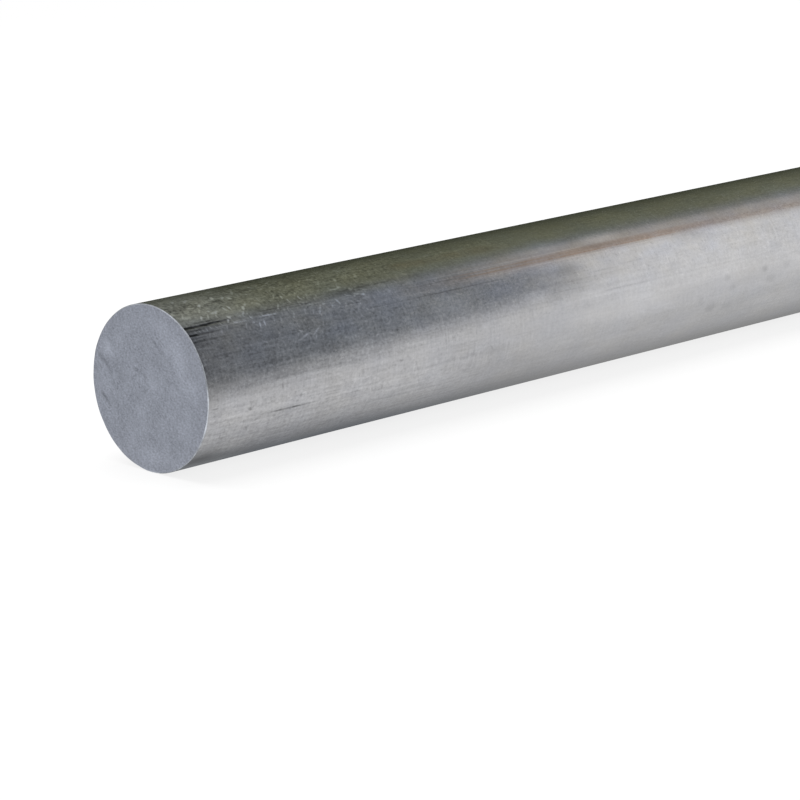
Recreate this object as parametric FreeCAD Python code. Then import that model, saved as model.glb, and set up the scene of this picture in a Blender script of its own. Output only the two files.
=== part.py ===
"""Solid round metal bar, a cut length of drawn stock, lying on its side.

The bar is one piece: a straight cylinder, sawn square at both ends. The saw leaves a sharp rim,
which is taken off with a file, so each end has a narrow bevel between the flat sawn face and the
drawn skin.

Frame, in millimetres: +X runs along the bar, from the end that is seen to the far end, and +Z is up.
The origin is on the floor under the middle of the bar, so the bar's axis is one radius above it.
"""

import FreeCAD, Part
import os

# Driving dimensions
BAR_DIAMETER = 50.0
BAR_LENGTH = 500.0
# Leg of the filed bevel at each rim, equal along the face and along the skin
RIM_BEVEL = 0.3

PARTS_FOLDER = "parts"

# The bar's axis, and the place of its near end when it rests on the floor
BAR_AXIS = FreeCAD.Vector(1, 0, 0)
AXIS_HEIGHT = BAR_DIAMETER / 2
NEAR_END = FreeCAD.Vector(-BAR_LENGTH / 2, 0, AXIS_HEIGHT)


def half_section():
    """The outline of half the bar, from its axis out to its skin, as one closed face."""
    radius = BAR_DIAMETER / 2
    corners = [
        (0, 0),
        (0, radius - RIM_BEVEL),
        (RIM_BEVEL, radius),
        (BAR_LENGTH - RIM_BEVEL, radius),
        (BAR_LENGTH, radius - RIM_BEVEL),
        (BAR_LENGTH, 0),
    ]
    points = [FreeCAD.Vector(along, 0, out) for along, out in corners]
    return Part.Face(Part.makePolygon(points + points[:1]))


def round_bar():
    """The half section turned once about the bar's axis and set down on the floor."""
    bar = half_section().revolve(FreeCAD.Vector(0, 0, 0), BAR_AXIS, 360)
    bar.translate(NEAR_END)
    return bar


def main():
    os.makedirs(PARTS_FOLDER, exist_ok=True)
    bar = round_bar()
    bar.exportStep(os.path.join(PARTS_FOLDER, "round_bar.step"))


main()
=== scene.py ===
"""Looks of the solid round bar: drawn satin skin, sawn ends and filed rims, in a plain white studio.

Everything is in metres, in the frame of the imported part: +X runs along the bar from the near end,
which the photograph shows, and +Z is up. On the skin a place is given as millimetres along the bar
from the near end and degrees around it, counted from the top towards the camera's side.
"""

import math

import bpy
import numpy as np
from mathutils import Matrix, Vector


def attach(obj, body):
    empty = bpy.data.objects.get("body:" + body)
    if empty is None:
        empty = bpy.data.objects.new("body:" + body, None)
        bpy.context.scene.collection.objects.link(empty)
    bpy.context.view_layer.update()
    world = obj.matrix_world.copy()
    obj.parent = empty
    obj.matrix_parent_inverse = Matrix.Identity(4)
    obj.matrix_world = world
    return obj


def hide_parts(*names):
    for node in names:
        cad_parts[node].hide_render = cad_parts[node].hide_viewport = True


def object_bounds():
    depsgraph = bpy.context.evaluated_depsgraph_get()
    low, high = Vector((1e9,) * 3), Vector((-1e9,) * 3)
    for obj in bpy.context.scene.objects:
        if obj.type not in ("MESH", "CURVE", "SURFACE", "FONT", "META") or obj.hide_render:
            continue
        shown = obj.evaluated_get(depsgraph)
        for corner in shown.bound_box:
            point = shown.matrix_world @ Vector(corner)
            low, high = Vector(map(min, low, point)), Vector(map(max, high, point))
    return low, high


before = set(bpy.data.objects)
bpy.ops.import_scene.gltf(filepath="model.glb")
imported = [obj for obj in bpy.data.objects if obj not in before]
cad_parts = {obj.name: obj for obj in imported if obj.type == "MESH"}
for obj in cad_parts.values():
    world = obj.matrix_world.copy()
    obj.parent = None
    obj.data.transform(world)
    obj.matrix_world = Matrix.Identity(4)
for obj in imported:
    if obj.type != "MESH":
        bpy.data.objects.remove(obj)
cad_low, cad_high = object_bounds()

MM = 0.001

# The bar's sizes, from the frame
NEAR_X = cad_low.x
FAR_X = cad_high.x
LENGTH = FAR_X - NEAR_X
RADIUS = (cad_high.z - cad_low.z) / 2
AXIS_HEIGHT = cad_low.z + RADIUS

# The photograph's camera: a square picture, a long lens and no roll
PICTURE_SIDE = 800
FOCAL_PIXELS = 3384
SENSOR_WIDTH = 36
CAMERA_TILT = math.radians(14.06)
CAMERA_BEARING = math.radians(44.14)
NEAR_END_PIXEL = (149.6, 388.9)
NEAR_END_DEPTH = 39.2 * RADIUS


# Camera

def add_camera():
    """Stands the camera where the near end's centre falls on its pixel, at its depth."""
    cos_b, sin_b = math.cos(CAMERA_BEARING), math.sin(CAMERA_BEARING)
    cos_t, sin_t = math.cos(CAMERA_TILT), math.sin(CAMERA_TILT)
    forward = Vector((cos_b * cos_t, sin_b * cos_t, -sin_t))
    right = Vector((sin_b, -cos_b, 0))
    up = right.cross(forward)
    across = (NEAR_END_PIXEL[0] - PICTURE_SIDE / 2) / FOCAL_PIXELS
    down = (NEAR_END_PIXEL[1] - PICTURE_SIDE / 2) / FOCAL_PIXELS
    near_end = Vector((NEAR_X, 0, AXIS_HEIGHT))
    data = bpy.data.cameras.new("camera")
    data.sensor_width = SENSOR_WIDTH
    data.lens = FOCAL_PIXELS * SENSOR_WIDTH / PICTURE_SIDE
    camera = bpy.data.objects.new("camera", data)
    place = near_end - NEAR_END_DEPTH * (forward + right * across - up * down)
    turn = Matrix((right, up, -forward)).transposed().to_4x4()
    camera.matrix_world = Matrix.Translation(place) @ turn
    bpy.context.scene.collection.objects.link(camera)
    bpy.context.scene.camera = camera


# The bar's mesh

SEGMENTS = 720
FACE_RINGS = 10
SHARP_ANGLE = math.radians(25)
RIM_WIDTH = 0.27 * MM
# The filed rim's unevenness: waves around the bar, and how high each may be as a share of the width
RIM_WAVES = (2, 3, 5, 9, 17, 31)
RIM_WAVE_HEIGHT = (0.05, 0.12)
# The rim's middle ring, in rim widths along from the face and in from the skin
RIM_MIDDLE = (0.4, 0.45)
# The first ring of the skin, in rim widths from the face
SKIN_START = 1.6
# Steps along the skin grow from the rim inwards, because the relief is finest by the ends
FIRST_STEP = 0.4 * MM
STEP_GROWTH = 1.22
LONGEST_STEP = 12 * MM

# Grooves that the die left: from and to in mm along the bar, degrees around, width and depth in mm
DIE_GROOVES = [
    (-1, 16, 37, 0.55, 0.05),
    (-1, 12, 43.2, 0.5, 0.035),
    (-1, 12, 47.5, 0.6, 0.012),
    (14, 66, 37.6, 0.5, 0.006),
    (72, 126, 51.3, 0.5, 0.008),
    (18, 64, 107, 0.4, 0.01),
]
# Fine grooves at random places: how many, and their half length, width and depth in mm
FINE_GROOVES = 70
FINE_HALF_LENGTH = (25, 160)
FINE_WIDTH = (0.4, 1.1)
FINE_DEPTH = (0.001, 0.004)
# Out of round: height in mm, waves around the bar, and their start in radians
OUT_OF_ROUND = [(0.010, 2, 0.7), (0.006, 3, 2.0)]
# Waves of the draw: height in mm, mm along for each radian, and waves around the bar
DRAW_WAVES = [(0.004, 27, 2), (0.003, 9.5, -3)]
# How far the relief is set in, in mm, so that its crests stay by the solid's skin
SET_IN = 0.01
SEED = 11


def smooth(value, low, high):
    """0 below low, 1 above high, and a smooth rise between them."""
    share = np.clip((value - low) / (high - low), 0, 1)
    return share * share * (3 - 2 * share)


def turn_apart(a, b):
    """Degrees between two directions around the bar."""
    return (a - b + 180) % 360 - 180


def groove(along, around, start, end, angle, width, depth):
    """Inward depth of one lengthwise groove, in mm, with tapered ends."""
    distance = np.abs(turn_apart(around, angle)) * math.radians(1) * RADIUS / MM
    taper = 0.1 * (end - start)
    run = smooth(along, start, start + taper) * (1 - smooth(along, end - taper, end))
    return depth * run * (1 - smooth(distance, 0, width))


def skin_relief(along, around):
    """How far the skin stands out from the true cylinder, in mm: out of round, draw waves and grooves."""
    angle = np.radians(around)
    relief = np.zeros_like(angle)
    for height, waves, start in OUT_OF_ROUND:
        relief = relief + height * np.cos(waves * angle + start)
    for height, length, waves in DRAW_WAVES:
        relief = relief + height * np.sin(along / length + waves * angle)
    for one in DIE_GROOVES:
        relief = relief - groove(along, around, *one)
    draw = np.random.default_rng(SEED)
    whole = LENGTH / MM
    for _ in range(FINE_GROOVES):
        middle = draw.uniform(0, whole)
        half = draw.uniform(*FINE_HALF_LENGTH)
        angle_at = draw.uniform(0, 360)
        width = draw.uniform(*FINE_WIDTH)
        depth = draw.uniform(*FINE_DEPTH)
        relief = relief - groove(along, around, middle - half, middle + half, angle_at, width, depth)
    return relief - SET_IN


def rim_width(around, seed):
    """Width of the filed rim in metres, a little uneven from stroke to stroke."""
    draw = np.random.default_rng(seed)
    uneven = np.zeros_like(around)
    for waves in RIM_WAVES:
        height = draw.uniform(*RIM_WAVE_HEIGHT)
        start = draw.uniform(0, 2 * math.pi)
        uneven += height * np.cos(np.radians(around) * waves + start)
    return RIM_WIDTH * (1 + uneven)


def skin_stations():
    """Places along the skin between the two rims, as metres from the near end."""
    steps = []
    step = FIRST_STEP
    reached = SKIN_START * RIM_WIDTH
    while reached < LENGTH / 2:
        steps.append(reached)
        reached += step
        step = min(step * STEP_GROWTH, LONGEST_STEP)
    return steps + [LENGTH - place for place in reversed(steps)]


def ring(x, radius, around):
    """One closed ring of points about the bar's axis. x and radius may vary around it."""
    angle = np.radians(around)
    points = np.empty((len(around), 3))
    points[:, 0] = x
    points[:, 1] = -np.sin(angle) * radius
    points[:, 2] = np.cos(angle) * radius + AXIS_HEIGHT
    return points


def face_rings(x, outer):
    """Rings of a sawn face, from near its centre out to the rim."""
    return [(x, outer * (number + 1) / FACE_RINGS) for number in range(FACE_RINGS)]


def bar_rings(around):
    """All rings from the near face's centre to the far face's, and each zone's last ring by number."""
    near_rim, far_rim = rim_width(around, SEED + 1), rim_width(around, SEED + 2)
    middle_along, middle_in = RIM_MIDDLE
    rings = [ring(x, r, around) for x, r in face_rings(NEAR_X, RADIUS - near_rim)]
    near_face = len(rings)
    rings.append(ring(NEAR_X + middle_along * near_rim, RADIUS - middle_in * near_rim, around))
    rings.append(ring(NEAR_X + near_rim, RADIUS + skin_relief(0, around) * MM, around))
    near_bevel = len(rings)
    for place in skin_stations():
        rings.append(ring(NEAR_X + place, RADIUS + skin_relief(place / MM, around) * MM, around))
    skin = len(rings)
    rings.append(ring(FAR_X - far_rim, RADIUS + skin_relief(LENGTH / MM, around) * MM, around))
    rings.append(ring(FAR_X - middle_along * far_rim, RADIUS - middle_in * far_rim, around))
    far_bevel = len(rings)
    for x, r in reversed(face_rings(FAR_X, RADIUS - far_rim)):
        rings.append(ring(x, r, around))
    return rings, (near_face, near_bevel, skin, far_bevel)


SKIN_SLOT, SAWN_SLOT, RIM_SLOT = range(3)


def bar_mesh():
    """The bar as one closed mesh: rings joined by quads, and a fan at each centre."""
    around = np.arange(SEGMENTS) * 360 / SEGMENTS
    rings, (near_face, near_bevel, skin, far_bevel) = bar_rings(around)
    centres = [(NEAR_X, 0, AXIS_HEIGHT), (FAR_X, 0, AXIS_HEIGHT)]
    vertices = np.concatenate([*rings, np.array(centres)])
    here = np.arange(SEGMENTS)
    after = (here + 1) % SEGMENTS
    faces = []
    slots = []
    for number in range(len(rings) - 1):
        start, end = number * SEGMENTS, (number + 1) * SEGMENTS
        faces += np.stack([start + here, end + here, end + after, start + after], 1).tolist()
        if number < near_face - 1 or number >= far_bevel:
            slot = SAWN_SLOT
        elif number < near_bevel - 1 or number >= skin:
            slot = RIM_SLOT
        else:
            slot = SKIN_SLOT
        slots += [slot] * SEGMENTS
    near_centre, far_centre = len(vertices) - 2, len(vertices) - 1
    last = (len(rings) - 1) * SEGMENTS
    faces += [[near_centre, a, b] for a, b in zip(here.tolist(), after.tolist())]
    faces += [[far_centre, last + b, last + a] for a, b in zip(here.tolist(), after.tolist())]
    slots += [SAWN_SLOT] * (2 * SEGMENTS)
    mesh = bpy.data.meshes.new("bar")
    mesh.from_pydata(vertices.tolist(), [], faces)
    mesh.polygons.foreach_set("material_index", slots)
    mesh.polygons.foreach_set("use_smooth", [True] * len(faces))
    mesh.set_sharp_from_angle(angle=SHARP_ANGLE)
    mesh.validate()
    return mesh


def add_bar():
    """The bar's one piece, in place of the plain CAD solid."""
    mesh = bar_mesh()
    for material in (skin_material(), sawn_material(), rim_material()):
        mesh.materials.append(material)
    bar = bpy.data.objects.new("bar", mesh)
    bpy.context.scene.collection.objects.link(bar)
    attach(bar, "root")
    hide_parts("round_bar")


# Shader graphs

class Graph:
    """Adds nodes to a tree. Each method takes numbers or sockets and returns the new node's output."""

    def __init__(self, tree):
        self.tree = tree

    def add(self, kind, output=0, settings=(), **inputs):
        node = self.tree.nodes.new(kind)
        for name, value in dict(settings).items():
            setattr(node, name, value)
        for name, value in inputs.items():
            self.give(self.socket(node, name), value)
        return node.outputs[output]

    @staticmethod
    def socket(node, name):
        """A node's input by its place, as in0, or by its name with underscores for spaces."""
        if name.startswith("in") and name[2:].isdigit():
            return node.inputs[int(name[2:])]
        return node.inputs[name.replace("_", " ")]

    def give(self, socket, value):
        if isinstance(value, bpy.types.NodeSocket):
            self.tree.links.new(value, socket)
        else:
            socket.default_value = value

    def math(self, operation, *values):
        inputs = {f"in{number}": value for number, value in enumerate(values)}
        return self.add("ShaderNodeMath", settings={"operation": operation}, **inputs)

    def plus(self, a, b):
        return self.math("ADD", a, b)

    def minus(self, a, b):
        return self.math("SUBTRACT", a, b)

    def times(self, a, b):
        return self.math("MULTIPLY", a, b)

    def more(self, total, value, share):
        return self.plus(total, self.times(value, share))

    def apart(self, a, b):
        return self.math("ABSOLUTE", self.minus(a, b))

    def rise(self, value, low, high, start=0.0, end=1.0):
        """A smooth change from start to end as value goes from low to high."""
        return self.add(
            "ShaderNodeMapRange",
            settings={"interpolation_type": "SMOOTHSTEP", "clamp": False},
            Value=value,
            From_Min=low,
            From_Max=high,
            To_Min=start,
            To_Max=end,
        )

    def window(self, value, low, high, soft):
        """1 between low and high, 0 outside, with edges that are soft on both sides of the limits."""
        opens = self.rise(value, low - soft, low + soft)
        shuts = self.rise(value, high - soft, high + soft, 1.0, 0.0)
        return self.times(opens, shuts)

    def blend(self, share, a, b):
        """Colour a where share is 0 and b where it is 1."""
        return self.add(
            "ShaderNodeMix",
            output=2,
            settings={"data_type": "RGBA"},
            in0=share,
            in6=a if isinstance(a, bpy.types.NodeSocket) else (*a, 1),
            in7=b if isinstance(b, bpy.types.NodeSocket) else (*b, 1),
        )

    def vector(self, operation, *values, output=0):
        inputs = {f"in{number}": value for number, value in enumerate(values)}
        return self.add("ShaderNodeVectorMath", output=output, settings={"operation": operation}, **inputs)

    def split(self, vector):
        """The three numbers of a vector or colour."""
        node = self.tree.nodes.new("ShaderNodeSeparateXYZ")
        self.give(node.inputs[0], vector)
        return tuple(node.outputs)

    def join(self, x, y):
        return self.add("ShaderNodeCombineXYZ", in0=x, in1=y)

    def scaled(self, vector, share):
        return self.add("ShaderNodeVectorMath", settings={"operation": "SCALE"}, in0=vector, Scale=share)

    def noise(self, place, scales, detail=2.0, roughness=0.5):
        """Noise about 0, from -0.5 to 0.5, with scales as features for each unit along X, Y and Z."""
        stretched = self.vector("MULTIPLY", place, scales)
        value = self.add(
            "ShaderNodeTexNoise",
            Vector=stretched,
            Scale=1.0,
            Detail=detail,
            Roughness=roughness,
        )
        return self.minus(value, 0.5)


def new_material(name):
    """An empty node material, its graph and its output node."""
    material = bpy.data.materials.new(name)
    material.use_nodes = True
    material.node_tree.nodes.clear()
    return material, Graph(material.node_tree), material.node_tree.nodes.new("ShaderNodeOutputMaterial")


def metal(graph, colour, roughness, **more):
    return graph.add(
        "ShaderNodeBsdfPrincipled", Base_Color=colour, Metallic=1.0, Roughness=roughness, **more
    )


class BarPlace:
    """Places on the bar for a material, in mm and degrees, with the point itself in metres."""

    def __init__(self, graph):
        place = graph.add("ShaderNodeTexCoord", output="Object")
        self.point = graph.vector("SUBTRACT", place, (NEAR_X, 0, AXIS_HEIGHT))
        x, y, z = graph.split(self.point)
        self.along = graph.times(x, 1 / MM)
        self.side = graph.times(y, -1 / MM)
        self.high = graph.times(z, 1 / MM)
        self.around = graph.math("DEGREES", graph.math("ARCTAN2", self.side, self.high))
        self.arc = graph.times(self.around, math.radians(1) * RADIUS / MM)
        self.unrolled = graph.join(self.along, self.arc)
        self.face = graph.join(self.side, self.high)


SLASH_GROUP = "slash"


def strokes(graph, flat, cell, length, width, share, tilts, bend=0.0):
    """Short strokes scattered over a flat place in mm, one at most in each cell, as a mask from 0 to 1.

    Each has its own tilt in degrees and its own strength. share is the part of the cells that have one."""
    scaled = graph.vector("DIVIDE", flat, (*cell, 1))
    cells = graph.tree.nodes.new("ShaderNodeTexVoronoi")
    cells.voronoi_dimensions = "2D"
    graph.give(cells.inputs["Vector"], scaled)
    cells.inputs["Scale"].default_value = 1.0
    away = graph.vector("SUBTRACT", scaled, cells.outputs["Position"])
    right, up, _ = graph.split(graph.vector("MULTIPLY", away, (*cell, 0)))
    chance, turn, strength = graph.split(cells.outputs["Color"])
    low, high = (math.radians(tilt) for tilt in tilts)
    angle = graph.plus(low, graph.times(turn, high - low))
    cos, sin = graph.math("COSINE", angle), graph.math("SINE", angle)
    on = graph.plus(graph.times(right, cos), graph.times(up, sin))
    off = graph.minus(graph.times(up, cos), graph.times(right, sin))
    off = graph.plus(off, graph.times(graph.times(on, on), bend))
    body = graph.rise(graph.math("ABSOLUTE", on), 0.2 * length, 0.5 * length, 1.0, 0.0)
    edge = graph.rise(graph.math("ABSOLUTE", off), 0.1 * width, 0.7 * width, 1.0, 0.0)
    there = graph.math("LESS_THAN", chance, share)
    mask = graph.times(graph.times(body, edge), there)
    return graph.times(mask, graph.more(0.4, strength, 0.6))


def lines_drawn(graph, place, lines):
    """Lengthwise lines at chosen places, added up: from, to, degrees around, half width, strength."""
    total = 0.0
    for start, end, angle, half_width, strength in lines:
        off = graph.apart(place.around, angle)
        line = graph.rise(off, 0.2 * half_width, half_width, strength, 0.0)
        taper = min(0.25 * (end - start), 6.0)
        total = graph.plus(total, graph.times(line, graph.window(place.along, start, end, taper)))
    return total


def slash_group():
    """A node group that adds a soft slash to a total: full strength at its middle, none past its edge."""
    tree = bpy.data.node_groups.new(SLASH_GROUP, "ShaderNodeTree")
    for name in ("Total", "Strength"):
        tree.interface.new_socket(name, in_out="INPUT", socket_type="NodeSocketFloat")
    for name in ("Place", "Centre", "On", "Off"):
        tree.interface.new_socket(name, in_out="INPUT", socket_type="NodeSocketVector")
    tree.interface.new_socket("Sum", in_out="OUTPUT", socket_type="NodeSocketFloat")
    graph = Graph(tree)
    given = tree.nodes.new("NodeGroupInput").outputs
    away = graph.vector("SUBTRACT", given["Place"], given["Centre"])
    on = graph.vector("DOT_PRODUCT", away, given["On"], output=1)
    off = graph.vector("DOT_PRODUCT", away, given["Off"], output=1)
    distance = graph.math("SQRT", graph.plus(graph.times(on, on), graph.times(off, off)))
    slash = graph.times(graph.rise(distance, 0.2, 1.0, 1.0, 0.0), given["Strength"])
    graph.give(tree.nodes.new("NodeGroupOutput").inputs["Sum"], graph.plus(given["Total"], slash))
    return tree


def slashes_drawn(graph, flat, slashes):
    """Soft slashes at chosen places, added up: place in mm, half length, half width, tilt, strength."""
    group = bpy.data.node_groups.get(SLASH_GROUP) or slash_group()
    total = 0.0
    for first, second, half_length, half_width, tilt, strength in slashes:
        cos, sin = math.cos(math.radians(tilt)), math.sin(math.radians(tilt))
        total = graph.add(
            "ShaderNodeGroup",
            settings={"node_tree": group},
            Total=total,
            Strength=strength,
            Place=flat,
            Centre=(first, second, 0),
            On=(cos / half_length, sin / half_length, 0),
            Off=(-sin / half_width, cos / half_width, 0),
        )
    return total


# Materials

SKIN_COLOUR = (0.445, 0.447, 0.456)
STAIN_COLOUR = (0.40, 0.335, 0.29)
# Bluish white painted into the brightest scuffs: the glint of the light that they catch
SCUFF_GLINT_COLOUR = (0.41, 0.42, 0.55)
SAWN_COLOUR = (0.395, 0.42, 0.485)
RIM_COLOUR = (0.46, 0.485, 0.53)
# How the skin's colour wanders with the noise of its hue
HUE_SHIFT = (0.035, 0.010, -0.055)
SKIN_ROUGHNESS = 0.185
SKIN_ANISOTROPY = 0.65
SAWN_ROUGHNESS = 0.5
RIM_ROUGHNESS = 0.30
# Heights of the bumps in mm, for the skin's grain and draw lines, and the sawn face's grain and cuts
GRAIN_BUMP, LINE_BUMP = 0.0012, 0.0045
SAWN_BUMP, CUT_BUMP = 0.004, 0.012

# Noises of the skin: features for each metre along the bar, across it and up
GRAIN = (900, 1400, 1400)
DRAW_LINES = (22, 1000, 1000)
COARSE_GRAIN = (800, 620, 620)
HATCHING = (1200, 160, 160)
FIBRES = (160, 900, 900)
GRAIN_PATCHES = (60, 150, 150)
MOTTLE = (120, 240, 240)
CLOUDS = (30, 70, 70)
CROWDING = (70, 110, 110)
WEAR = (25, 50, 50)
BREAKS = (420, 900, 900)
HUE = (70, 130, 130)
# Noises of the sawn face and of the filed rim
SAWN_GRAIN = (1400, 1250, 1900)
SAWN_MOTTLE = (170, 170, 170)
FILING = (2500, 600, 600)

# Strokes scattered at random: size of a cell in mm, length, width, share of the cells, tilts in degrees
HOOKS = ((3.6, 3.0), 2.6, 0.60, 0.45, (-10, 150))
HOOK_BEND = 0.35
DOTS = ((1.7, 1.6), 0.9, 0.75, 0.35, (-90, 90))
STREAKS = ((9.0, 2.3), 6.0, 0.35, 0.5, (-6, 8))
SPECKS = ((2.3, 1.9), 1.2, 0.60, 0.5, (-90, 90))
NICKS = ((2.9, 2.5), 1.8, 0.55, 0.45, (-40, 70))
PITS = ((6.1, 5.3), 1.4, 0.60, 0.5, (-30, 60))
SCRATCHES = ((43, 7.7), 26.0, 0.34, 0.6, (-3, 3))
FACE_NICKS = ((2.9, 3.2), 2.2, 0.5, 0.5, (-60, -20))
FACE_FLECKS = ((3.7, 3.3), 1.0, 0.5, 0.45, (-90, 90))

# The texture is busy within a turn from this direction and fades lower down, in degrees around
BUSY_MIDDLE = 28
BUSY_EDGE = (42, 66)
# The most light that the dark marks take together
DARKEST = 0.88

# Dark lines on the skin: from and to in mm along, degrees around, half width in degrees, strength
DARK_LINES = [
    (-4, 12, 36.8, 1.5, 0.83), (9, 18, 36.2, 1.2, 0.62), (4, 15, 34, 1, 0.3),
    (-4, 6, 39.8, 0.9, 0.42), (-4, 9, 43.1, 1.3, 0.72), (7, 15, 43, 0.8, 0.25),
    (-4, 7, 45.6, 0.8, 0.22), (-2, 13, 48.2, 1.3, 0.32), (16, 44, 37.6, 0.9, 0.2),
    (30, 44, 35.6, 0.7, 0.25), (66, 88, 33, 1, 0.25), (72, 100, 51.3, 0.8, 0.14),
    (98, 128, 51.3, 0.9, 0.26), (90, 118, 43, 0.7, 0.22), (3, 11, 107, 0.8, 0.07),
    (19, 25, 107.2, 0.8, 0.07), (23, 45, 107.3, 1, 0.2), (27, 38, 107.3, 1.1, 0.32),
    (47, 63, 107.3, 0.9, 0.15), (170, 181, 61, 0.9, 0.12), (184, 198, 59.5, 0.8, 0.09),
    (166, 179, 74, 0.7, 0.09), (172, 195, 76.5, 1, 0.13), (146, 168, 70, 0.8, 0.08),
    (120, 190, 64, 0.8, 0.06),
]
LIGHT_LINES = [
    (12, 22, 40.6, 0.7, 0.22), (28, 36, 39.7, 0.9, 0.32), (60, 66, 30.2, 0.8, 0.4),
    (40, 62, 38.6, 0.7, 0.22), (90, 170, 39.2, 0.7, 0.15), (100, 210, 46.9, 0.6, 0.1),
    (138, 168, 46.2, 0.9, 0.12),
]
STAIN_LINES = [
    (110, 156, 41.6, 0.8, 0.5), (114, 216, 44.2, 1, 0.6), (142, 236, 41.4, 3.2, 0.44),
    (106, 150, 37.4, 0.9, 0.18), (88, 136, 21, 6.5, 0.42),
]
# Dark patches and spots on the skin: mm along, mm around, half length, half width, tilt, strength
# The four low down by the near end, at 53 to 62 mm around, are painted shade: there the skin mirrors the
# floor in the bar's shadow
DARK_PATCHES = [
    (4, 16.8, 12, 2.2, 0, 0.3), (2, 20.6, 9, 2.6, 0, 0.2), (-1, 26, 3, 10, 0, 0.14),
    (2, 59, 12, 6, 0, 0.28), (1, 42, 9, 12, 0, 0.08), (3, 7.8, 5, 4, 0, 0.16),
    (1, -2.6, 5, 5, 0, 0.08), (104, 42, 16, 4, 0, 0.07), (121, 43, 8, 3, 0, 0.1),
    (126, 49.5, 24, 6, 0, 0.09), (62, 15.6, 16, 2, -2, 0.2), (66, 14.4, 18, 2.8, 0, 0.15),
    (101, 14.6, 14, 2.4, 0, 0.12), (6, 6.6, 8, 3.4, 0, 0.1), (3, 23.4, 4, 2.2, 0, 0.1),
    (7, 61.8, 15, 3.8, 0, 0.38), (60, 23.4, 9, 2.4, 0, 0.11), (50, 31.4, 20, 2.4, 0, 0.14),
    (24, 62, 14, 3.6, 0, 0.2), (20, 44.5, 6, 2.2, 0, 0.07), (160, 51, 14, 3.6, 0, 0.07),
    (178, 17.8, 9, 1.4, 0, 0.08), (140, 18.8, 9, 2, 0, 0.08), (50, 3, 9, 3.4, 0, 0.08),
    (10, 33.6, 9, 2.4, 0, 0.06), (108, 47.2, 10, 2.8, 0, 0.07), (160, 24.2, 10, 3, 0, 0.16),
    (158, 28, 14, 9, 0, 0.09), (100, 34, 34, 2.4, 0, 0.07), (120, 44.5, 9, 2.2, 0, 0.06),
    (40, 8, 9, 2.6, 0, 0.07), (6, 53.6, 9, 2.8, 0, 0.06), (182, 40.4, 14, 3.4, 0, 0.05),
    (142, 52.4, 12, 3.4, 0, 0.05), (228, 40.4, 50, 4, 0, 0.11), (222, 22, 16, 4, 0, 0.1),
    (120, 30.5, 7, 2.2, 0, 0.08), (255, 38.4, 2.4, 2, 0, 0.16), (228, 48, 3.8, 2.6, 0, 0.12),
    (238, 42.3, 2.4, 2, 0, 0.1), (235, 38.4, 2.4, 1.8, 0, 0.09), (258, 42.3, 3.4, 2.2, 10, 0.09),
    (262, 31.4, 4.6, 2.8, 0, 0.11), (237, 48.9, 5, 2.4, 0, 0.09), (222, 44.5, 3.2, 2, 20, 0.08),
    (267, 38.4, 3, 2, 0, 0.1), (205, 36, 4, 2, 0, 0.06),
]
# Small dark marks on the skin: mm along, mm around, half length, half width, tilt, strength. They go
# from the olive top to the grey flank and the light lower side
DARK_MARKS = [
    (20.2, 7.5, 2.6, 1.2, 5, 0.32), (12, 15, 4.5, 0.6, 0, 0.22),
    (57, 7.3, 5, 0.6, 2, 0.2), (50, 16.2, 5.5, 0.6, 2, 0.26),
    (20.8, 12.2, 1.4, 0.4, 82, 0.3), (42, 13.8, 1.8, 0.5, 78, 0.22),
    (44.2, 23, 3.6, 0.4, 0, 0.2), (56.5, 23.5, 2.4, 0.5, 14, 0.14),
    (64, 22.5, 1.8, 0.5, 0, 0.16), (73, 22.4, 3.2, 0.5, 0, 0.22),
    (17.5, 25.7, 0.9, 0.6, 0, 0.26), (21.5, 27.3, 1, 0.6, 0, 0.22),
    (41, 28.6, 4.6, 1.5, -14, 0.2), (37.5, 29.3, 1, 0.7, 0, 0.2),
    (43, 28, 1.1, 0.5, -50, 0.22), (49, 27.5, 1.8, 0.9, 0, 0.24),
    (27, 31.3, 1.3, 0.8, 0, 0.24), (21, 31.8, 1.1, 0.5, 60, 0.24),
    (79, 31, 2.6, 0.7, 0, 0.16), (16.8, 44, 1.2, 0.7, 10, 0.36),
    (37.2, 43.5, 0.9, 0.8, 0, 0.23), (35.8, 45, 1.6, 0.5, 0, 0.2),
    (27.3, 48.3, 1, 0.6, 0, 0.16), (19.5, 48.3, 1.3, 0.6, 0, 0.14),
    (29.5, 39.3, 1.5, 0.5, 75, 0.26), (2.8, 41.5, 1.9, 0.4, 0, 0.24),
    (6.8, 51, 1.7, 0.5, 84, 0.16), (17, 50.5, 1.8, 0.5, 58, 0.18),
    (12, 54.4, 1.5, 0.6, 45, 0.16), (27, 54.4, 3, 0.4, 6, 0.2),
    (22, 54.3, 1.6, 0.9, 0, 0.16), (54.3, 56.3, 1.7, 0.7, 52, 0.18),
    (60.5, 58.8, 1.9, 0.9, 50, 0.28), (68.8, 41.5, 1.3, 0.6, 85, 0.18),
    (65, 43.4, 1, 0.7, 0, 0.18), (58.5, 43.5, 0.9, 0.7, 0, 0.14),
    (61, 41.5, 1.5, 0.5, 80, 0.16), (79, 40.1, 1.5, 0.5, 10, 0.18),
    (71.5, 46.5, 1.3, 0.6, 20, 0.14), (43.5, 41, 3, 0.9, -50, 0.12),
    (49, 42.8, 3.6, 0.9, 5, 0.08), (60.8, 46.5, 2, 0.7, 8, 0.22),
    (86.5, 43.5, 3.2, 0.6, 58, 0.16), (88, 48, 3, 0.5, 62, 0.12),
    (111, 43.6, 3.6, 0.7, 4, 0.14), (119.5, 43, 1.8, 0.6, 40, 0.14),
]
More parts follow.
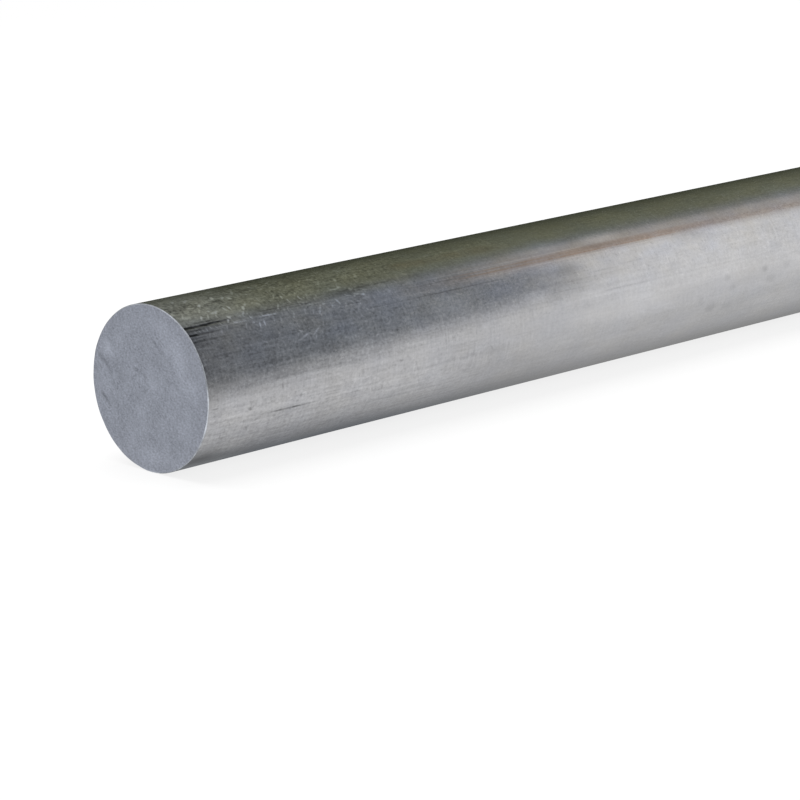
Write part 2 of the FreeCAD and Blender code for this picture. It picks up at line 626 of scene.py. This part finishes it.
# Light flecks, from the olive top down the grey flank, then the upright ticks between the dark lines
# They are scuffs, drawn lighter with a painted glint of the light that they catch
LIGHT_FLECKS = [
    (20, 5.2, 1.5, 0.9, -62, 1.4), (23.4, 6.2, 1.3, 0.7, -45, 1),
    (25.2, 7, 1.5, 0.7, 55, 0.95), (28.7, 4.5, 1.9, 0.6, -56, 0.9),
    (12.8, 7.8, 1.3, 0.7, -60, 0.85), (10.8, 3.8, 2, 0.9, -35, 0.7),
    (7, 2.2, 2, 1, -50, 0.5), (3.6, 11, 1.5, 0.5, -56, 0.6),
    (9, 13.4, 1.6, 0.5, -60, 0.75), (10.6, 10.4, 1.4, 0.6, -50, 0.65),
    (11.8, 13.2, 1.5, 0.5, -60, 0.65), (15, 12.3, 2.4, 0.8, -8, 0.8),
    (4, 12.2, 3, 0.9, 0, 0.45), (19.4, 11.6, 1.4, 0.5, 82, 0.65),
    (21.4, 11.4, 1.5, 0.6, 78, 0.85), (26, 12.8, 1.3, 0.8, -62, 1.2),
    (27.6, 11.6, 1.2, 0.6, -44, 0.6), (24.8, 11.4, 1.2, 0.6, -50, 0.4),
    (32, 12.4, 1.6, 0.8, 20, 0.45), (42.3, 11.6, 1.3, 0.6, -72, 1),
    (40, 10.6, 1.6, 0.5, -52, 0.75), (38.2, 15, 1.8, 0.5, -50, 0.75),
    (39.5, 5.6, 1.5, 1, -40, 0.5), (24.4, 14.8, 2, 0.5, -45, 0.6),
    (47.5, 12, 2, 0.5, -50, 0.4), (60, 9, 3, 0.5, -48, 0.45),
    (66.8, 9.2, 1.3, 0.8, -60, 0.8), (75.5, 9, 1.8, 0.8, -50, 0.7),
    (72, 8.6, 2.6, 0.5, -48, 0.45), (20.6, 17, 1.5, 1, 0, 0.35),
    (18.4, 15.2, 1.2, 0.6, 60, 1.2), (17.2, 16.4, 1.2, 0.6, -50, 1.05),
    (19.4, 17.4, 1.2, 0.5, 20, 0.8), (32, 17.3, 2.6, 0.5, 2, 0.75),
    (35, 17.4, 0.9, 0.6, 0, 0.6), (27.4, 20, 1.5, 0.5, -70, 1.1),
    (29.4, 19.7, 1.5, 0.5, -74, 1), (25.5, 18.9, 0.9, 0.6, 0, 0.45),
    (33.4, 19.4, 1.6, 0.4, -68, 0.4), (36, 19.6, 2, 0.5, -70, 0.45),
    (41.6, 19.2, 1.6, 0.5, -60, 0.4), (46.5, 18.6, 1.6, 0.5, -60, 0.45),
    (49.4, 19.4, 1.6, 0.5, -56, 0.45), (52.8, 18.6, 1.4, 0.6, -50, 0.75),
    (51.6, 20.2, 1.4, 0.6, -60, 0.6), (55, 17.6, 1.2, 0.6, -40, 0.45),
    (57.6, 19, 1.2, 0.5, -60, 0.4), (60.7, 17.8, 1.6, 0.6, 70, 0.75),
    (63, 13.1, 2.4, 0.5, 0, 0.6), (65.2, 12.5, 1.2, 0.7, 0, 0.6),
    (68.7, 14.4, 1.2, 0.8, 0, 1.15), (69.2, 16.5, 1.2, 0.6, 30, 0.7),
    (71.8, 17.2, 1.2, 0.6, 0, 0.8), (66, 19, 1.4, 0.5, 50, 0.35),
    (43.5, 27.6, 1.6, 0.5, -60, 0.35), (46.2, 27, 1.5, 0.5, -58, 0.4),
    (39.6, 25.4, 1.5, 0.5, -60, 0.35), (41, 26.7, 3.2, 0.5, -16, 0.45),
    (43, 25.9, 3, 0.4, -12, 0.4), (45.8, 26.3, 2, 0.4, -30, 0.45),
    (47.4, 25.3, 2, 0.5, -24, 0.6), (41.8, 24.9, 2.6, 0.4, -8, 0.35),
    (50.6, 24, 1.6, 0.5, -60, 0.3), (63.5, 22, 2, 0.6, -50, 0.3),
    (67, 21.4, 2, 0.6, -50, 0.3), (86, 28.4, 2.6, 0.4, 4, 0.2),
    (26, 25.4, 2.2, 0.4, 30, 0.35), (93.5, 13, 1.4, 0.8, 0, 0.3),
    (82, 17.8, 1.6, 1, 20, 0.3), (3.4, 18, 0.9, 0.35, 70, 0.55),
    (4.9, 17.9, 1, 0.35, 76, 0.75), (6.3, 17.8, 0.9, 0.35, 72, 0.6),
    (7.8, 17.7, 1, 0.35, 80, 0.8), (9.6, 17.5, 0.9, 0.35, 70, 0.65),
    (11.6, 17.6, 1, 0.4, 60, 0.6), (14, 17, 1, 0.4, 60, 0.5),
    (12.5, 19.6, 1.3, 0.4, -60, 0.5), (7.5, 20, 1.2, 0.4, -60, 0.45),
    (15.4, 18.4, 1.3, 0.4, -50, 0.5), (22.4, 19.2, 1.3, 0.4, -62, 0.45),
    (37.6, 27.2, 1.5, 0.4, -56, 0.3), (49, 26.6, 1.5, 0.4, -62, 0.3),
    (44.4, 24.6, 1.5, 0.4, -50, 0.35), (37.4, 42.2, 1.4, 0.5, 0, 0.1),
    (30.5, 40.6, 0.9, 0.6, 0, 0.12),
]
# Broad pale patches, in the same order of values
PALE_PATCHES = [
    (80, 18.4, 12, 1.8, 0, 0.16), (74, 5, 15, 4.4, 0, 0.12), (50, 47.1, 18, 2.2, 0, 0.07),
    (20, 16, 9, 7, 0, 0.17), (24, 13.2, 9, 2.6, 0, 0.1), (104, 26.4, 12, 4.4, 0, 0.2),
    (130, 21, 16, 1.8, 0, 0.12), (150, 14, 20, 2.6, 0, 0.15), (141, 30, 9, 3.4, 0, 0.2),
    (182, 14.8, 14, 3.6, 0, 0.34), (60, 54.5, 12, 3.4, 0, 0.1), (5, 36.8, 8, 2.2, 0, 0.12),
    (40, 36.8, 10, 1.8, 0, 0.07),
]


def busy_share(graph, place, least):
    """1 over the top and the upper flank, and least on the lower side."""
    return graph.rise(graph.apart(place.around, BUSY_MIDDLE), *BUSY_EDGE, 1.0, least)


def fine_texture(graph, place, grain, lines, below):
    """Grain, cross hatching, short fibres and draw lines, strongest on the olive top."""
    busy = busy_share(graph, place, 0.55)
    coarse = graph.noise(place.point, COARSE_GRAIN, detail=2, roughness=0.7)
    hatch = graph.noise(place.point, HATCHING, detail=1)
    fibres = graph.noise(place.point, FIBRES, detail=1)
    patchy = graph.rise(graph.noise(place.point, GRAIN_PATCHES, detail=2), -0.14, 0.14, 0.35, 1.35)
    above = graph.times(graph.rise(place.around, -60, -28), graph.rise(place.around, 8, 38, 1.0, 0.0))
    above = graph.times(above, patchy)
    bright = graph.times(graph.window(place.around, 80, 112, 8), graph.window(place.along, 92, 140, 14))
    hatched = graph.times(hatch, graph.more(0.40, bright, 0.45))
    total = graph.plus(graph.times(grain, graph.plus(1.05, above)), hatched)
    speckled = graph.times(above, graph.rise(place.along, 20, 60, 1.7, 0.9))
    total = graph.plus(graph.times(total, busy), graph.times(coarse, graph.plus(0.25, speckled)))
    fibrous = graph.more(above, below, 0.35)
    total = graph.more(total, fibres, fibrous)
    streaky = graph.times(below, graph.rise(place.along, 90, 180, 0.16, -0.14))
    streaky = graph.more(streaky, above, 0.30)
    drawn = graph.times(graph.window(place.around, 40, 84, 6), graph.rise(place.along, 30, 90, 0.34, 0.22))
    streaky = graph.plus(streaky, drawn)
    return graph.plus(total, graph.times(lines, graph.plus(0.34, streaky)))


def wide_texture(graph, place, below):
    """Mottling and clouds, fainter low down."""
    busy = busy_share(graph, place, 0.40)
    mottle = graph.noise(place.point, MOTTLE, detail=2)
    cloud = graph.noise(place.point, CLOUDS, detail=2)
    mottled = graph.times(busy, graph.rise(place.along, 50, 110, 0.70, 0.24))
    total = graph.times(mottle, mottled)
    return graph.plus(total, graph.times(cloud, graph.rise(below, 0, 1, 0.30, 0.18)))


def scuffs_and_glints(graph, place):
    """Where the skin is scuffed, with the scuffs' glints painted in, 0 to 1: its top and flank by the near
    end, and patches out of sight.
    """
    top = graph.times(graph.window(place.around, 6, 42, 7), graph.window(place.along, 6, 84, 12))
    flank = graph.times(graph.window(place.around, 30, 62, 7), graph.window(place.along, 22, 80, 10))
    crowded = graph.rise(graph.noise(place.point, CROWDING, detail=1), -0.12, 0.12, 0.35, 1.2)
    shown = graph.times(graph.math("MAXIMUM", top, graph.times(flank, 0.5)), crowded)
    worn = graph.rise(graph.noise(place.point, WEAR, detail=1), 0.02, 0.14)
    unseen = graph.times(worn, graph.rise(graph.apart(place.around, 70), 95, 105))
    return graph.math("MAXIMUM", shown, graph.times(unseen, 0.25))


def scattered_marks(graph, place, hooks, fade):
    """Small marks scattered at random: light ones where the skin is scuffed, their lightness a painted
    glint, and faint dark ones all over.
    """
    kinds = (DOTS, STREAKS, SPECKS, NICKS, PITS, SCRATCHES)
    dots, streaks, specks, nicks, pits, scratches = (
        strokes(graph, place.unrolled, *kind) for kind in kinds
    )
    light = graph.plus(graph.times(hooks, 0.70), graph.times(streaks, 0.45))
    light = graph.times(graph.more(light, dots, 0.55), scuffs_and_glints(graph, place))
    dark = graph.plus(graph.times(pits, 0.16), graph.times(scratches, 0.14))
    peppered = graph.rise(graph.apart(place.around, 36), 30, 44, 1.0, 0.4)
    pepper = graph.minus(graph.times(specks, 0.30), graph.times(nicks, 0.26))
    dark = graph.more(dark, pepper, peppered)
    return graph.minus(light, graph.times(dark, fade))


def placed_darkness(graph, place):
    """The dark lines, patches and marks at chosen places, as the share of light that they take. A few of
    the patches are painted shade.
    """
    broken = graph.rise(graph.noise(place.point, BREAKS, detail=1), -0.10, 0.08, 0.60, 1.20)
    dark = graph.times(lines_drawn(graph, place, DARK_LINES), broken)
    dark = graph.plus(dark, graph.times(slashes_drawn(graph, place.unrolled, DARK_MARKS), broken))
    dark = graph.plus(dark, slashes_drawn(graph, place.unrolled, DARK_PATCHES))
    return graph.math("MINIMUM", dark, DARKEST)


def skin_lightness(graph, place):
    """How much lighter or darker the skin is from place to place, about 1, and three of its textures."""
    fade = graph.rise(place.along, 40, 160, 1.0, 0.38)
    below = graph.rise(place.around, 80, 110)
    grain = graph.noise(place.point, GRAIN, detail=2, roughness=0.6)
    lines = graph.noise(place.point, DRAW_LINES, detail=2)
    hooks = strokes(graph, place.unrolled, *HOOKS, bend=HOOK_BEND)
    total = graph.times(fine_texture(graph, place, grain, lines, below), fade)
    total = graph.plus(total, wide_texture(graph, place, below))
    total = graph.plus(total, scattered_marks(graph, place, hooks, fade))
    total = graph.plus(total, lines_drawn(graph, place, LIGHT_LINES))
    total = graph.plus(total, slashes_drawn(graph, place.unrolled, LIGHT_FLECKS + PALE_PATCHES))
    total = graph.times(graph.plus(total, 1.0), graph.minus(1.0, placed_darkness(graph, place)))
    return total, grain, lines, hooks


def skin_material():
    """Drawn skin: a satin metal whose fine draw lines run along the bar and blur reflections around it."""
    material, graph, output = new_material("drawn_skin")
    place = BarPlace(graph)
    lightness, grain, lines, hooks = skin_lightness(graph, place)
    uneven = graph.noise(place.point, HUE, detail=3)
    hue = graph.times(uneven, graph.rise(graph.apart(place.around, 24), 20, 60, 2.0, 0.6))
    tint = graph.vector("ADD", graph.scaled(HUE_SHIFT, hue), SKIN_COLOUR)
    stain = graph.times(lines_drawn(graph, place, STAIN_LINES), graph.rise(uneven, -0.1, 0.1, 0.65, 1.15))
    tint = graph.blend(graph.math("MINIMUM", stain, 1.0), tint, STAIN_COLOUR)
    # Painted glint: the brightest scuffs turn bluish white, more on the top than lower down
    scuff_glint = graph.times(graph.rise(lightness, 1.3, 2.2), graph.rise(place.around, 28, 42, 0.8, 0.3))
    tint = graph.blend(scuff_glint, tint, SCUFF_GLINT_COLOUR)
    colour = graph.scaled(tint, lightness)
    height = graph.plus(graph.times(grain, GRAIN_BUMP), graph.times(lines, LINE_BUMP))
    bump = graph.add("ShaderNodeBump", Height=height, Distance=MM, Strength=1.0)
    rougher = graph.plus(graph.times(grain, 0.10), graph.times(hooks, 0.08))
    tangent = graph.add("ShaderNodeTangent", settings={"direction_type": "RADIAL", "axis": "X"})
    roughness = graph.plus(SKIN_ROUGHNESS, rougher)
    shader = metal(graph, colour, roughness, Anisotropic=SKIN_ANISOTROPY, Normal=bump, Tangent=tangent)
    graph.give(output.inputs["Surface"], shader)
    return material


# Centres of the saw's and the file's arcs, from the face's centre: mm towards the camera's side, mm up
SAW_CENTRE = (90, 75)
FILE_CENTRE = (-150, 60)
# Features of the arcs for each mm, across them and along them
SAW_ARCS = (1.15, 0.24)
FILE_ARCS = (1.0, 0.22)
# Slashes on the sawn face: mm towards the camera's side, mm up, half length, half width, tilt, strength
FACE_DARK = [
    (-21, 6, 3, 0.9, -44, 0.25), (-21.8, 3.6, 2, 0.6, -42, 0.15),
    (-20, -5.4, 3, 1, -44, 0.33), (-18, -7.6, 2.4, 0.7, -38, 0.16),
    (-18.6, 4.4, 4.4, 0.8, -46, 0.2), (-19.6, 1, 3.6, 0.6, -50, 0.12),
    (-16, 0, 8, 0.6, -54, 0.09), (-14.4, -7, 7, 1.6, -58, 0.07),
    (-5.2, 4.8, 3, 1.1, -18, 0.18), (-1.8, 3.2, 2.4, 0.9, -34, 0.18),
    (-6.6, 2.6, 2, 0.8, 30, 0.14), (-9, 5.2, 1.6, 0.7, -36, 0.1),
    (2.4, 14.2, 3.4, 0.7, -34, 0.17), (5, 12.2, 3.2, 0.6, -32, 0.15),
    (1.2, 11.6, 3, 0.6, -36, 0.11), (8.2, 9.4, 3.8, 0.5, -38, 0.11),
    (10.6, 6.6, 3.8, 0.5, -36, 0.1), (14.2, 6, 3.6, 0.5, -40, 0.09),
    (7, 4.4, 3.8, 0.5, -36, 0.08), (4, 7, 3.4, 0.5, -34, 0.08),
    (-12, 3, 6, 9, 0, 0.05), (-12, -14, 4, 8, 20, 0.05),
    (1, -9, 6, 3, 0, 0.03),
]
FACE_PALE = [
    (-6, 5.8, 1.2, 0.6, 20, 0.14), (1.6, 0.6, 3, 2, 0, 0.08), (-19, 0, 9, 2.4, -56, 0.12),
    (-16.8, 9, 5, 2.2, -50, 0.13), (-13, 13, 5, 3, -50, 0.06), (8, 15.6, 11, 5, -40, 0.13),
    (13.2, 13, 7, 4.4, -50, 0.14), (0.4, 3, 5, 4, 0, 0.09), (-18.4, 8.6, 4, 2.6, -50, 0.09),
    (15, 5, 10, 4.4, -50, 0.14), (12, -2, 8, 5, 0, 0.07), (2, 6, 8, 3, -38, 0.05),
    (16, -10, 9, 4, 70, 0.07), (1, -20.4, 13, 4, 0, 0.13),
]


def arcs(graph, place, centre, features):
    """Noise drawn out along circles about a centre off the face."""
    away = graph.vector("SUBTRACT", place.face, (*centre, 0))
    right, up, _ = graph.split(away)
    distance = math.hypot(*centre)
    radius = graph.vector("LENGTH", away, output=1)
    angle = graph.math("ARCTAN2", up, right)
    flat = graph.join(radius, graph.times(graph.math("WRAP", angle, 2 * math.pi, 0.0), distance))
    return graph.noise(flat, (*features, 1), detail=2, roughness=0.6)


def sawn_material():
    """Sawn end: a dull, even metal with the saw's shallow arcs, grain and a few smudges."""
    material, graph, output = new_material("sawn_face")
    place = BarPlace(graph)
    grain = graph.noise(place.point, SAWN_GRAIN, detail=1, roughness=0.6)
    mottle = graph.noise(place.point, SAWN_MOTTLE, detail=2)
    saw = arcs(graph, place, SAW_CENTRE, SAW_ARCS)
    file = arcs(graph, place, FILE_CENTRE, FILE_ARCS)
    filed = graph.rise(place.side, -22, 2, 1.0, 0.35)
    cuts = graph.plus(graph.times(saw, 0.34), graph.times(graph.times(file, filed), 0.22))
    lightness = graph.plus(graph.plus(graph.times(grain, 0.95), graph.times(mottle, 0.34)), cuts)
    nicks = strokes(graph, place.face, *FACE_NICKS)
    flecks = strokes(graph, place.face, *FACE_FLECKS)
    lightness = graph.plus(lightness, graph.times(nicks, -0.14))
    lightness = graph.more(lightness, flecks, 0.14)
    lightness = graph.plus(lightness, slashes_drawn(graph, place.face, FACE_PALE))
    lightness = graph.minus(graph.plus(lightness, 1.0), slashes_drawn(graph, place.face, FACE_DARK))
    height = graph.plus(graph.times(grain, SAWN_BUMP), graph.times(cuts, CUT_BUMP))
    bump = graph.add("ShaderNodeBump", Height=height, Distance=MM, Strength=1.0)
    colour = graph.scaled(SAWN_COLOUR, lightness)
    shader = metal(graph, colour, graph.more(SAWN_ROUGHNESS, grain, 0.2), Normal=bump)
    graph.give(output.inputs["Surface"], shader)
    return material


# Where glints are painted into the filed rim's colour, making it brighter: from and to in degrees around,
# strength
RIM_GLINTS = [
    (8, 40, 0.35),
    (84, 114, 0.75),
    (-150, -60, 0.2),
]
RIM_GLINT_SOFT = 9


def rim_material():
    """Filed rim: bright, fresh metal, with glints painted into its colour in places."""
    material, graph, output = new_material("filed_rim")
    place = BarPlace(graph)
    filing = graph.noise(place.point, FILING, detail=3)
    total = graph.more(0.95, filing, 1.6)
    for start, end, strength in RIM_GLINTS:
        glint = graph.window(place.around, start, end, RIM_GLINT_SOFT)
        total = graph.more(total, glint, strength)
    shader = metal(graph, graph.scaled(RIM_COLOUR, total), graph.more(RIM_ROUGHNESS, filing, 0.3))
    graph.give(output.inputs["Surface"], shader)
    return material


# Studio

TENT_RADIUS = 0.6
TENT_FROM, TENT_TO = -1.2, 2.6
TENT_STEPS = 48
FLOOR_HALF = 30.0
FLOOR_COLOUR = (0.90, 0.90, 0.90)
SHADOW_LIGHTENING = 0.82
# Metres from the bar at which the floor starts to turn fully white, and is
SHADOW_REACH = (0.25, 0.9)
WORLD_LEVEL = 0.6
# How far along the bar a mirrored ray goes for each metre out from its skin, at the near end, and how
# much further for each metre along the bar
MIRROR_LEAN = 0.843
MIRROR_LEAN_GROWTH = 1.28
# Where the skin's top mirrors the tent, in degrees from level behind the bar and up over it, and how far
# the place on the skin turns for each degree from there. The cards on the floor turn it degree for degree
TENT_TURN, TENT_SHARE = 19.3, 0.5
FLOOR_TURN = 105.6
# Edge of the white sweep: degrees around at the near end, fall for each mm along, and half its softness
SWEEP_EDGE, SWEEP_FALL, SWEEP_SOFT = 84.4, 0.092, 8.5
CARD_HEIGHT = 0.2 * MM
# How far the front and far cards stay from the line under the bar's axis, and the face card from its end
FRONT_GAP = 3.3 * MM
FAR_GAP = 0.1
FACE_GAP = 0.5 * MM
# Soft lamps: place, the point that each faces, side and watts
LAMPS = {
    "overhead": ((0.0, 0.5, 2.2), (0, 0, 0), 2.4, 60),
    "front_right": ((0.5, -0.8, 0.5), (0.1, 0, 0), 0.5, 2.5),
}

# Colours of the tent's lining and of the cards on the floor, as radiance
NEUTRAL_LOW, NEUTRAL_HIGH = (0.082, 0.088, 0.066), (0.43, 0.445, 0.39)
OLIVE_LOW, OLIVE_HIGH = (0.048, 0.053, 0.034), (0.25, 0.26, 0.178)
GREY_NEAR, GREY_MIDDLE = (0.217, 0.225, 0.240), (0.278, 0.30, 0.328)
GREY_LIGHT, GREY_RIGHT = (0.318, 0.34, 0.372), (0.26, 0.285, 0.325)
HIGH_RIGHT = (0.66, 0.62, 0.59)
BROWN = (0.56, 0.44, 0.36)
WHITE_PANEL = (1.18, 1.17, 1.17)
DIP, FLASH = (0.10, 0.11, 0.13), (1.36, 1.34, 1.34)
FLOOR_LIGHT, FLOOR_RIGHT = (0.95, 0.945, 0.95), (0.86, 0.855, 0.855)
# The bar's shadow on the floor, painted into the glow where the lower side mirrors it: at the very end,
# near it and further right
PAINTED_SHADOW_END, PAINTED_SHADOW_NEAR, PAINTED_SHADOW_RIGHT = (0.23, 0.24, 0.25), (0.15, 0.16, 0.175), (0.30, 0.30, 0.30)
FACE_SHINE = (0.72, 0.72, 0.72)
FAR_CLOTH = (0.05, 0.052, 0.04)
END_GREY = (0.40, 0.41, 0.42)


def only_reflected(thing):
    """Makes a studio piece show in reflections alone, so that it throws no light and no shadow."""
    thing.visible_camera = False
    thing.visible_diffuse = False
    thing.visible_transmission = False
    thing.visible_volume_scatter = False
    thing.visible_shadow = False


def new_stage_mesh(name, vertices, faces, material):
    mesh = bpy.data.meshes.new(name)
    mesh.from_pydata(vertices, [], faces)
    mesh.materials.append(material)
    thing = bpy.data.objects.new(name, mesh)
    bpy.context.scene.collection.objects.link(thing)
    return thing


def mirror_place(graph, on_floor):
    """The place on the skin, in mm and degrees, that mirrors a studio point at the camera's side."""
    x, y, z = graph.split(graph.add("ShaderNodeTexCoord", output="Object"))
    high = graph.minus(z, AXIS_HEIGHT)
    out = graph.math("SQRT", graph.plus(graph.times(y, y), graph.times(high, high)))
    out = graph.minus(out, RADIUS)
    reach = graph.minus(graph.minus(x, NEAR_X), graph.times(out, MIRROR_LEAN))
    along = graph.math("DIVIDE", reach, graph.more(1.0, out, MIRROR_LEAN_GROWTH))
    over = graph.math("DEGREES", graph.math("ARCTAN2", high, y))
    over = graph.math("WRAP", over, 300.0, -60.0)
    if on_floor:
        around = graph.minus(over, FLOOR_TURN)
    else:
        around = graph.times(graph.minus(over, TENT_TURN), TENT_SHARE)
    return graph.times(along, 1 / MM), around


def mirrored_light(graph, along, around):
    """The lining's colour for each mirrored place on the skin, in mm along and degrees around.

    Olive behind the bar, blue grey over it, a white sweep rising at its front right, and the floor, with
    the bar's shadow painted on it where the lower side mirrors it."""
    neutral = graph.blend(graph.rise(around, -12, 30), NEUTRAL_LOW, NEUTRAL_HIGH)
    olive = graph.blend(graph.rise(around, -12, 28), OLIVE_LOW, OLIVE_HIGH)
    behind = graph.blend(graph.rise(along, 15, 46), neutral, olive)
    grey = graph.blend(graph.rise(along, 4, 56), GREY_NEAR, GREY_MIDDLE)
    grey = graph.blend(graph.rise(along, 60, 92), grey, GREY_LIGHT)
    grey = graph.blend(graph.rise(along, 108, 148), grey, GREY_RIGHT)
    opens = graph.rise(along, 120, 150, 27, 22)
    colour = graph.blend(graph.rise(around, opens, graph.plus(opens, 15)), behind, grey)
    high_right = graph.times(graph.rise(along, 108, 178), graph.window(around, 33, 49, 3))
    colour = graph.blend(high_right, colour, HIGH_RIGHT)
    brown = graph.times(graph.window(around, 41, 46, 0.8), graph.rise(along, 112, 162))
    colour = graph.blend(brown, colour, BROWN)
    white = graph.blend(graph.rise(along, 150, 180), FLOOR_LIGHT, WHITE_PANEL)
    edge = graph.minus(SWEEP_EDGE, graph.times(graph.math("MAXIMUM", along, 0.0), SWEEP_FALL))
    sweep = graph.rise(graph.math("DIVIDE", graph.minus(around, edge), SWEEP_SOFT), -1, 1)
    panel = graph.times(graph.rise(along, 166, 174), graph.rise(around, 44.3, 46.3))
    dip = graph.times(graph.window(along, 146, 168, 4), graph.window(around, 48, 66, 4))
    colour = graph.blend(graph.times(dip, 0.85), colour, DIP)
    colour = graph.blend(graph.math("MAXIMUM", sweep, panel), colour, white)
    flash = graph.times(graph.window(along, 180, 196, 4), graph.window(around, 50, 68, 4))
    colour = graph.blend(flash, colour, FLASH)
    lower_right = graph.times(graph.rise(along, 90, 150), graph.rise(around, 90, 110))
    colour = graph.blend(lower_right, colour, FLOOR_RIGHT)
    # Painted shadow: where the skin's lower side mirrors the floor next to the bar, the glow turns dark
    under = graph.blend(graph.rise(along, 70, 190), PAINTED_SHADOW_NEAR, PAINTED_SHADOW_RIGHT)
    under = graph.blend(graph.rise(along, 8, 36), PAINTED_SHADOW_END, under)
    starts = graph.plus(graph.rise(along, 5, 36, 106, 101), graph.rise(along, 60, 110, 0, 5))
    starts = graph.plus(starts, graph.rise(along, 150, 185, 0, 5))
    colour = graph.blend(graph.rise(around, starts, graph.rise(along, 5, 36, 146, 151)), colour, under)
    return graph.blend(graph.rise(along, -230, -110), FACE_SHINE, colour)


def glowing(name, colour_of, on_floor=False):
    """A material that glows with the colour that the function gives for each mirrored place."""
    material, graph, output = new_material(name)
    along, around = mirror_place(graph, on_floor)
    shader = graph.add("ShaderNodeEmission", Color=colour_of(graph, along, around), Strength=1.0)
    graph.give(output.inputs["Surface"], shader)
    material.cycles.emission_sampling = "NONE"
    return material


def add_tent():
    """A half-round tent over the bar, which shows only in its reflections."""
    vertices = []
    low = math.asin(AXIS_HEIGHT / TENT_RADIUS)
    for step in range(TENT_STEPS + 1):
        angle = -low + (math.pi + 2 * low) * step / TENT_STEPS
        y = TENT_RADIUS * math.cos(angle)
        z = AXIS_HEIGHT + TENT_RADIUS * math.sin(angle)
        vertices += [(TENT_FROM, y, z), (TENT_TO, y, z)]
    faces = [(2 * n, 2 * n + 1, 2 * n + 3, 2 * n + 2) for n in range(TENT_STEPS)]
    only_reflected(new_stage_mesh("tent", vertices, faces, glowing("tent_lining", mirrored_light)))
    grey = glowing("end_lining", lambda graph, along, around: (*END_GREY, 1))
    for number in (0, 1):
        arch = vertices[number::2]
        only_reflected(new_stage_mesh(f"tent_end_{number}", arch, [tuple(range(len(arch)))], grey))


def add_card(name, low, high, material):
    """A level card just over the floor, from one corner to the other, seen only in reflections."""
    (x0, y0), (x1, y1) = low, high
    corners = [(x, y, CARD_HEIGHT) for x, y in ((x0, y0), (x1, y0), (x1, y1), (x0, y1))]
    only_reflected(new_stage_mesh(name, corners, [(0, 1, 2, 3)], material))


def add_cards():
    """What the bar mirrors of the floor: in front of it, with the bar's shadow painted in, behind it and by
    its near end.
    """
    front = glowing("front_card", mirrored_light, on_floor=True)
    behind = glowing("far_card", lambda graph, along, around: (*FAR_CLOTH, 1))
    face = glowing("face_card", lambda graph, along, around: (*FACE_SHINE, 1))
    add_card("front_card", (NEAR_X, -TENT_RADIUS), (TENT_TO, -FRONT_GAP), front)
    add_card("far_card", (NEAR_X, FAR_GAP), (TENT_TO, TENT_RADIUS), behind)
    add_card("face_card", (TENT_FROM, -TENT_RADIUS), (NEAR_X - FACE_GAP, TENT_RADIUS), face)


def seen(graph):
    """1 for rays that are seen: straight from the camera, mirrored or through glass."""
    path = graph.tree.nodes.new("ShaderNodeLightPath")
    either = graph.math("MAXIMUM", path.outputs["Is Camera Ray"], path.outputs["Is Glossy Ray"])
    return graph.math("MAXIMUM", either, path.outputs["Is Transmission Ray"])


def add_floor():
    """A white floor that keeps the bar's soft shadow, lightened where it is seen, more so further off."""
    material, graph, output = new_material("white_floor")
    cloth = graph.add("ShaderNodeBsdfDiffuse", Color=(*FLOOR_COLOUR, 1))
    white = graph.add("ShaderNodeEmission", Color=(1, 1, 1, 1), Strength=1.0)
    place = graph.vector("MULTIPLY", graph.add("ShaderNodeTexCoord", output="Object"), (0.6, 1, 0))
    away = graph.vector("LENGTH", place, output=1)
    lightening = graph.rise(away, *SHADOW_REACH, SHADOW_LIGHTENING, 1.0)
    mixed = graph.add("ShaderNodeMixShader", in0=graph.times(seen(graph), lightening), in1=cloth, in2=white)
    graph.give(output.inputs["Surface"], mixed)
    material.cycles.emission_sampling = "NONE"
    h = FLOOR_HALF
    corners = [(-h, -h, 0), (h, -h, 0), (h, h, 0), (-h, h, 0)]
    new_stage_mesh("floor", corners, [(0, 1, 2, 3)], material)


def add_world():
    """White all round, at full strength where it is seen, reflected or seen through."""
    world = bpy.data.worlds.new("studio")
    world.use_nodes = True
    world.node_tree.nodes.clear()
    graph = Graph(world.node_tree)
    output = world.node_tree.nodes.new("ShaderNodeOutputWorld")
    strength = graph.plus(WORLD_LEVEL, graph.times(seen(graph), 1 - WORLD_LEVEL))
    background = graph.add("ShaderNodeBackground", Color=(1, 1, 1, 1), Strength=strength)
    graph.give(output.inputs["Surface"], background)
    world.cycles.sampling_method = "NONE"
    bpy.context.scene.world = world


def add_lamp(name, place, target, size, energy):
    """One soft lamp, which lights the floor and leaves the reflections to the tent."""
    data = bpy.data.lights.new(name, "AREA")
    data.shape = "SQUARE"
    data.size = size
    data.energy = energy
    lamp = bpy.data.objects.new(name, data)
    place, target = Vector(place), Vector(target)
    turn = (place - target).to_track_quat("Z", "Y").to_matrix().to_4x4()
    lamp.matrix_world = Matrix.Translation(place) @ turn
    lamp.visible_camera = False
    lamp.visible_glossy = False
    bpy.context.scene.collection.objects.link(lamp)


def main():
    bpy.context.scene.view_settings.view_transform = "Standard"
    add_camera()
    add_bar()
    add_tent()
    add_cards()
    add_floor()
    add_world()
    for name, values in LAMPS.items():
        add_lamp(name, *values)


main()
